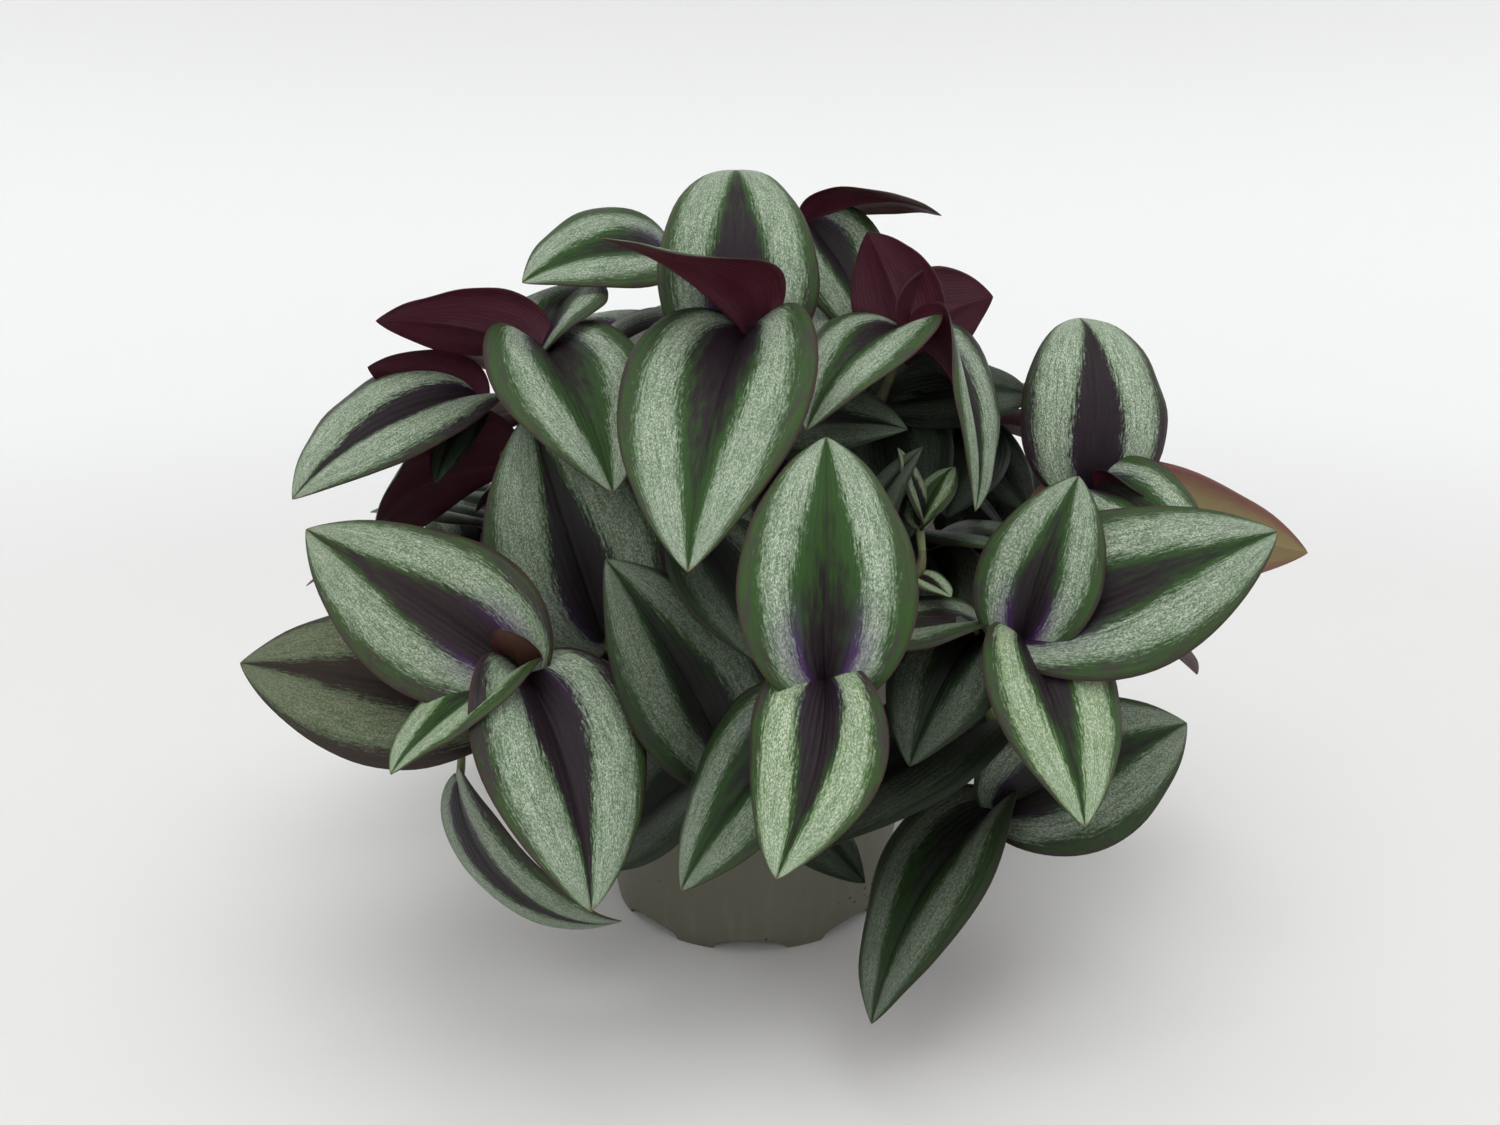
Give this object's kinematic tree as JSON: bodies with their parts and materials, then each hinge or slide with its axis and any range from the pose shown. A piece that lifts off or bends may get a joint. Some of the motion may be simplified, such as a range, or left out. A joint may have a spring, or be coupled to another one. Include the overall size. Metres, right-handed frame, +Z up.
{
  "type": "potted inch plant with silver striped leaves",
  "caption": "Bushy potted inch plant: trailing shoots with pointed silver-striped leaves, purple underneath, in a tapered plastic pot.",
  "frame": {"origin": "on the ground under the middle of the whole plant, on the pot's axis", "axes": "+Z up; the plant's front faces -Y; +X to the right seen from the front"},
  "size_m": [0.3171, 0.2743, 0.2279],
  "materials": {
    "pot_plastic": "satin grey-taupe plastic",
    "soil": "dark crumbly potting mix",
    "foliage": "soft leaves: silver-green bands and a dark middle above, purple below"
  },
  "bodies": {
    "root": {"pot": "pot_plastic", "soil": "soil", "shoot_crown": "foliage", "shoot_low_centre": "foliage", "shoot_front_under": "foliage", "shoot_upper_left": "foliage", "shoot_left_low": "foliage", "shoot_right_low": "foliage", "shoot_right_high": "foliage", "shoot_right_under": "foliage", "shoot_inner_right": "foliage", "shoot_left_under": "foliage", "shoot_left_high": "foliage", "shoot_left_inner": "foliage", "shoot_top_back": "foliage", "shoot_top_right": "foliage", "shoot_inner_front": "foliage", "shoot_front_inner": "foliage", "shoot_left_back": "foliage", "shoot_rim_1": "foliage", "shoot_rim_2": "foliage", "shoot_rim_3": "foliage", "shoot_rim_4": "foliage", "shoot_rim_5": "foliage", "shoot_side_1": "foliage", "shoot_side_2": "foliage", "shoot_side_3": "foliage", "shoot_side_4": "foliage", "shoot_top_1": "foliage", "shoot_top_2": "foliage"}
  },
  "joints": []
}
